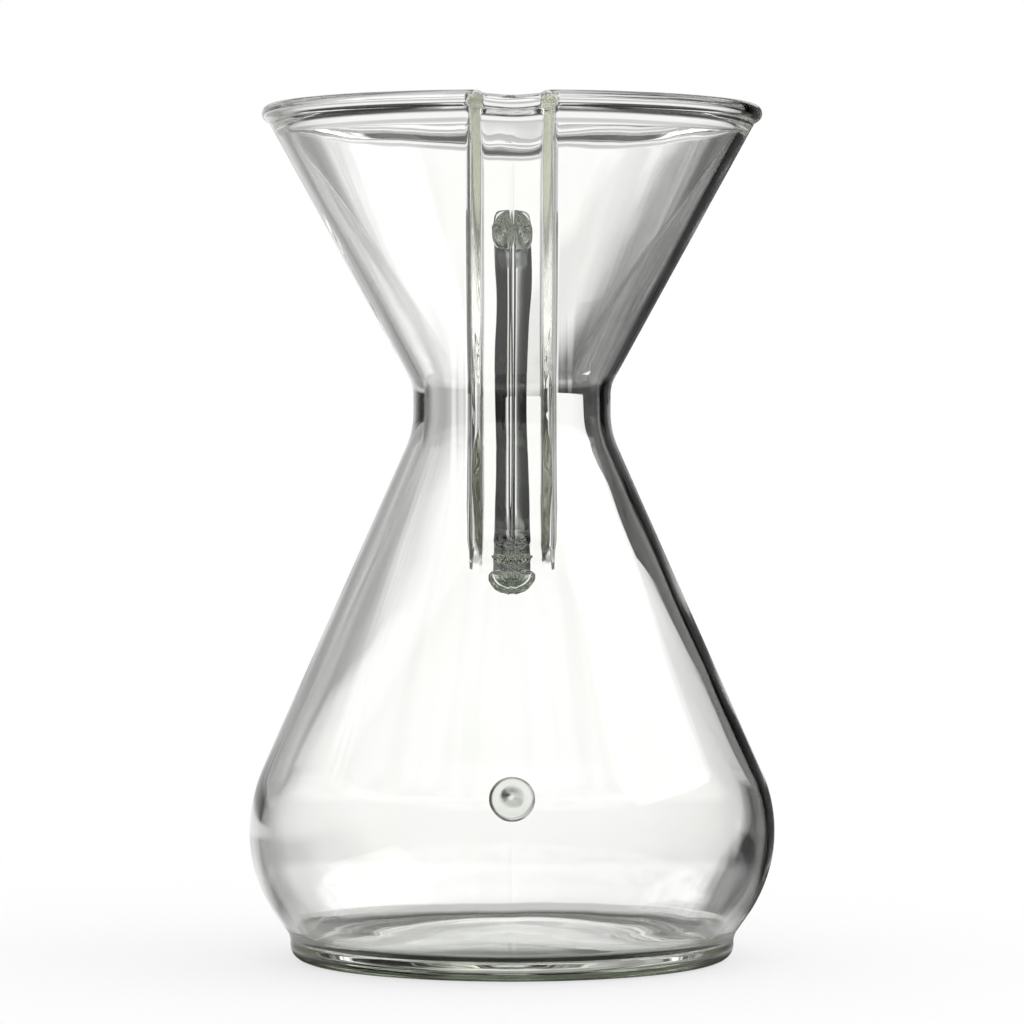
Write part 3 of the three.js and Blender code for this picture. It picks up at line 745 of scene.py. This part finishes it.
def mould_line(across, z, on_channel, lip):
    """Share of the mould line's height at each place on the outside of the front."""
    ridge = np.exp(-(across / SEAM_WIDTH) ** 2)
    off_button = smooth(np.abs(z - BUTTON_HEIGHT) / BUTTON_DIAMETER - 0.5)
    on_flask = SEAM_ON_FLASK + (1 - SEAM_ON_FLASK) * on_channel
    return ridge * on_flask * smooth((z - SEAM_START) / SEAM_FADE) * off_button * (1 - lip)


def thicker_lip(x, z, across, inset):
    """How far the inside of the wall behind the lip stands in, uneven along the rim."""
    middle = 1 - np.clip(across / (CHANNEL_HALF_WIDTH - WALL), 0, 1) ** LIP_WEDGE_POWER
    waves = np.array([noise.noise(Vector((a / LIP_WAVE_LENGTH, LIP_WAVE_PLACE, 0.0))) for a in x])
    wedge = LIP_WEDGE * soft_max(z - LIP_WEDGE_START, 0.0, LIP_WEDGE_ROUND)
    return wedge * (1 + LIP_WAVE * waves) * middle * np.clip(inset, 0.0, None) / WALL


def blown_waves(x, y, z, r, inset, in_channel):
    """Move of the uneven wall, as a share of the distance from the axis: inwards, so never above 0."""
    inside = inset > WALL / 2
    wave_height = np.where(inside, WAVE_INSIDE, WAVE_OUTSIDE) * (1 + WAVE_IN_CHANNEL * in_channel)
    wave = np.array([noise.noise(Vector((a / WAVE_ACROSS, b / WAVE_ACROSS, c / WAVE_UP + WAVE_SHIFT * i)))
                     for a, b, c, i in zip(x, y, z, inside)])
    above_foot = smooth((z - WAVE_START) / WAVE_FADE)
    waved = (z <= HEIGHT - WAVE_BELOW_RIM) & (r > WAVE_OFF_AXIS)
    wave = np.where(waved, wave, 0.0) * wave_height * above_foot
    return (wave - wave_height * above_foot) / np.maximum(np.hypot(x, y), 1.0)


def press_channel(vessel, section):
    """Moves the spun points: closer together at the front, and out into the pouring channel."""
    mesh = vessel.data
    points = np.empty(len(mesh.vertices) * 3)
    mesh.vertices.foreach_get("co", points)
    x, y, z = (points.reshape(-1, 3) / MM).T
    r = np.hypot(x, y)
    turn = np.arctan2(x, -y)
    inset = inset_at(section, r, z)
    depth = channel_depth(z)
    on_channel = smooth(depth / CHANNEL_FULL_DEPTH)

    # Each spun point has a station: those at the front lie on the channel's line, the others spread behind.
    station = np.abs(turn) / math.pi * VESSEL_STEPS / 2
    front = station <= STATIONS[-1] + STATION_SLACK
    across, out = channel_line(station, depth, inset)
    guide = np.maximum(r, INNER_NECK)
    edge = np.arcsin(STATION_REACH / guide)
    behind = edge + (math.pi - edge) * (station - STATIONS[-1]) / (VESSEL_STEPS / 2 - STATIONS[-1])
    angle = np.sign(turn) * np.where(front, np.arcsin(np.clip(across / guide, -1, 1)), behind)
    out = np.where(front, out, 0.0)

    lip = smooth((z - HEIGHT + LIP_LENGTH) / LIP_LENGTH)
    dip = lip * np.where(front, np.cos(np.clip(across / CHANNEL_HALF_WIDTH, 0, 1) * math.pi / 2) ** 2, 0.0)
    sunk = lip * np.clip(out / np.maximum(depth, CHANNEL_LEAST_DEPTH), 0, 1)
    seam = np.where(front & (inset < SEAM_INSET), mould_line(across, z, on_channel, lip), 0.0)
    out = out + LIP_FLARE * dip + SEAM_HEIGHT * seam
    x = r * np.sin(angle)
    y = -r * np.cos(angle) - out + np.where(front, thicker_lip(x, z, across, inset), 0.0)
    z = z - LIP_DROP * ((1 - LIP_SHARE) * dip + LIP_SHARE * sunk)

    push = blown_waves(x, y, z, r, inset, np.where(front, on_channel, 0.0))
    x, y = x * (1 + push), y * (1 + push)
    mesh.vertices.foreach_set("co", (np.column_stack([x, y, z]) * MM).ravel())
    mesh.update()


def make_vessel():
    section = glass_section()
    vessel = turn_profile("glass_vessel_clear", [p for p, _ in section], VESSEL_STEPS)
    press_channel(vessel, section)
    return vessel


def wall_body():
    """The vessel's outside filled solid, a hair larger, to cut the backs of the pieces on it."""
    line = rounded(outside_corners()[1:])
    grown = []
    for before, here, after in zip([line[0], *line], line, [*line[1:], line[-1]]):
        along = (after - before).normalized()
        grown.append(here + Vector((along.y, -along.x)) * SEAT_GAP)
    top, bottom = grown[-1], grown[0]
    return turn_profile("wall_body", [(0.0, bottom.y), *grown, (0.0, top.y)], SEAT_STEPS)


def wall_at(height):
    """Place on the outside at a height, in radius and height, and the direction straight out of the glass."""
    line = rounded(outside_corners()[1:])
    for a, b in zip(line, line[1:]):
        if a.y <= height < b.y:
            along = (b - a).normalized()
            return a.lerp(b, (height - a.y) / (b.y - a.y)), Vector((along.y, -along.x))


def seat_on_wall(piece, place, out, side, body):
    """Turns a piece from Z to the seat's direction, puts it there and cuts its back to the wall."""
    axis = Vector((0.0, side * out.x, out.y))
    piece.rotation_euler = Vector((0.0, 0.0, 1.0)).rotation_difference(axis).to_euler()
    piece.location = Vector((0.0, side * place.x, place.y)) * MM
    bpy.ops.object.select_all(action="DESELECT")
    piece.select_set(True)
    bpy.context.view_layer.objects.active = piece
    bpy.ops.object.transform_apply(location=True, rotation=True, scale=True)
    cut = piece.modifiers.new("seat", "BOOLEAN")
    cut.operation = "DIFFERENCE"
    cut.object = body
    bpy.ops.object.modifier_apply(modifier=cut.name)
    bpy.ops.object.shade_smooth_by_angle(angle=math.radians(SHARP_EDGE))


def make_weld(name, length, height, out, squareness, size, body):
    """Gather of glass that spreads from the rod's end onto the wall, round or with the corners of a block."""
    foot, top = ROD_RADIUS + WELD_FLARE, ROD_RADIUS + WELD_LIP
    profile = [(0.0, -foot), (foot, -foot)]
    for k in range(WELD_FLARE_STEPS + 1):
        angle = math.pi / 2 * k / WELD_FLARE_STEPS
        profile.append((foot - (foot - top) * math.sin(angle), length * (1 - math.cos(angle))))
    profile.append((0.0, length))
    weld = turn_profile(name, profile, WELD_STEPS)
    for vertex in weld.data.vertices:
        x, y, z = vertex.co / MM
        across = math.hypot(x, y)
        if across > 0.1:
            corner = (abs(x / across) ** squareness + abs(y / across) ** squareness) ** (-1 / squareness)
            spot = Vector((x / WELD_LUMP_LENGTH, y / WELD_LUMP_LENGTH, z / WELD_LUMP_LENGTH + length))
            lump = WELD_LUMP * noise.noise(spot) - WELD_DRAWN_IN
            vertex.co.xy *= corner * size * (1 + lump / foot)
    seat_on_wall(weld, wall_at(height)[0], Vector((out.y, out.z)), 1, body)
    return weld


def make_button(body):
    """Pressed drop: a rounded disc that swells into a dome in its middle."""
    radius = BUTTON_DIAMETER / 2
    dome = BUTTON_DOME / 2 * BUTTON_DOME_SPREAD
    profile = [(0.0, -radius), (radius, -radius)]
    for k in range(BUTTON_EDGE_STEPS + 1):
        angle = math.pi / 2 * k / BUTTON_EDGE_STEPS
        profile.append((radius - BUTTON_EDGE * (1 - math.cos(angle)), BUTTON_EDGE * math.sin(angle)))
    for k in range(1, BUTTON_DOME_STEPS + 1):
        r = dome * (1 - k / BUTTON_DOME_STEPS)
        swell = 0.5 + 0.5 * math.cos(math.pi * r / dome)
        profile.append((r, BUTTON_EDGE + (BUTTON_RISE - BUTTON_EDGE) * swell))
    button = turn_profile("half_full_button_drop", profile, BUTTON_STEPS)
    place, square = wall_at(BUTTON_HEIGHT)
    seat_on_wall(button, place, square, -1, body)
    return button


def make_handle():
    """A rod drawn along its axis: straight stretches by extrude, bends by spin."""
    bpy.ops.object.select_all(action="DESELECT")
    start = Vector((0.0, *ROD_START)) * MM
    bpy.ops.mesh.primitive_circle_add(vertices=ROD_SIDES, radius=ROD_RADIUS * MM, fill_type="NGON",
                                      location=start, rotation=(math.pi / 2, 0.0, 0.0))
    handle = bpy.context.object
    handle.name = handle.data.name = "glass_handle_rod"
    bpy.ops.object.transform_apply(location=True, rotation=True, scale=True)
    edit(handle)
    here = Vector(ROD_START)
    stops = [Vector(c[:2]) for c in ROD_CORNERS] + [Vector(ROD_END)]
    for i, (y, z, radius) in enumerate(ROD_CORNERS):
        corner = Vector((y, z))
        along = (corner - here).normalized()
        ahead = (stops[i + 1] - corner).normalized()
        turn = along.angle(ahead)
        reach = radius * math.tan(turn / 2)
        step = (corner - along * reach) - here
        cuts = max(1, round(step.length / ROD_CUT))
        for _ in range(cuts):
            bpy.ops.mesh.extrude_region_move(
                TRANSFORM_OT_translate={"value": Vector((0.0, step.x, step.y)) * MM / cuts})
        inward = Vector((along.y, -along.x))
        centre = corner - along * reach + inward * radius
        bpy.ops.mesh.spin(steps=ROD_BEND_STEPS, angle=turn, axis=(1, 0, 0),
                          center=Vector((0.0, centre.x, centre.y)) * MM)
        here = corner + ahead * reach
    step = Vector(ROD_END) - here
    bpy.ops.mesh.extrude_region_move(TRANSFORM_OT_translate={"value": Vector((0.0, step.x, step.y)) * MM})
    close_up()
    return handle


# Camera, studio and light
place_camera()
studio_world()
floor = make_floor()
dark_card("far_card", *FAR_CARD)
dark_card("near_card", *NEAR_CARD)
overhead = soft_box("overhead_soft_box", place=(0.0, 0.1, 1.3), target=(0.0, 0.0, 0.0), width=0.9, height=0.9,
                    watts=3.0)
# The glass doesn't show this lamp, only the light that it gives to the floor.
overhead.visible_glossy = overhead.visible_transmission = False
soft_box("right_soft_box", place=(0.95, -0.08, 0.90), target=(0.0, 0.0, 0.1), width=1.1, height=0.8,
         watts=3.3)

# The thin blown wall is clear, with a cream tint along its depth; painted shade darkens the foot grey-green.
body_glass = clear_glass("blown_borosilicate", ("#fbfcf9", "#ffffff"), wave_mm=22, wave_depth_mm=0.10,
                         depth_tint="#dfe6b4", painted_foot_shade="#5d6656")
# The drawn rod is clear along its middle, with painted shade that greys its slanting sides.
rod_glass = clear_glass("drawn_borosilicate", ("#f4f6f1", "#fbfcfa"), wave_mm=14, wave_depth_mm=0.04,
                        painted_side_shade="#868984")
# The thick gathers of the welds are grey-green, streaked dark and pale with painted shade and highlights.
weld_glass = clear_glass("gathered_borosilicate", ("#4f574d", "#e6eae2"), wave_mm=4, wave_depth_mm=0.10)
# The pressed button is a little less polished, so that its dome looks soft.
button_glass = clear_glass("pressed_borosilicate", ("#f4f6f1", "#fbfcfa"), wave_mm=14, wave_depth_mm=0.04,
                           roughness=0.2)
# A fused joint lets light straight through, so that rod, welds and wall look like one glass.
joint_glass = clear_glass("fused_joint", ("#e9ede6", "#f6f8f4"), wave_mm=9, wave_depth_mm=0.02,
                          bends_light=1.0)

# The five pieces
finish_piece(make_vessel(), "glass_vessel", body_glass)
rise = math.radians(LOWER_ARM_RISE)
upper_arm = Vector((0.0, 1.0, 0.0))
lower_arm = Vector((0.0, math.cos(rise), math.sin(rise)))
finish_piece(make_handle(), "glass_handle", rod_glass,
             [(-upper_arm, ROD_END_FACE), (-lower_arm, ROD_END_FACE)])
body = wall_body()
upper_weld = make_weld("upper_weld_gather", UPPER_WELD_LENGTH, UPPER_WELD_HEIGHT, upper_arm,
                       UPPER_WELD_SQUARENESS, UPPER_WELD_SIZE, body)
finish_piece(upper_weld, "upper_handle_weld", weld_glass,
             [(upper_arm, WELD_TOP_FACE), (-upper_arm, WELD_BACK_FACE)])
lower_weld = make_weld("lower_weld_gather", LOWER_WELD_LENGTH, LOWER_WELD_HEIGHT, lower_arm,
                       LOWER_WELD_SQUARENESS, LOWER_WELD_SIZE, body)
finish_piece(lower_weld, "lower_handle_weld", weld_glass,
             [(lower_arm, WELD_TOP_FACE), (-lower_arm, WELD_BACK_FACE)])
finish_piece(make_button(body), "half_full_button", button_glass)
bpy.data.objects.remove(body)

scene = bpy.context.scene
scene.view_settings.view_transform = "Standard"
scene.cycles.max_bounces = 160
scene.cycles.transmission_bounces = 128
scene.cycles.glossy_bounces = 128
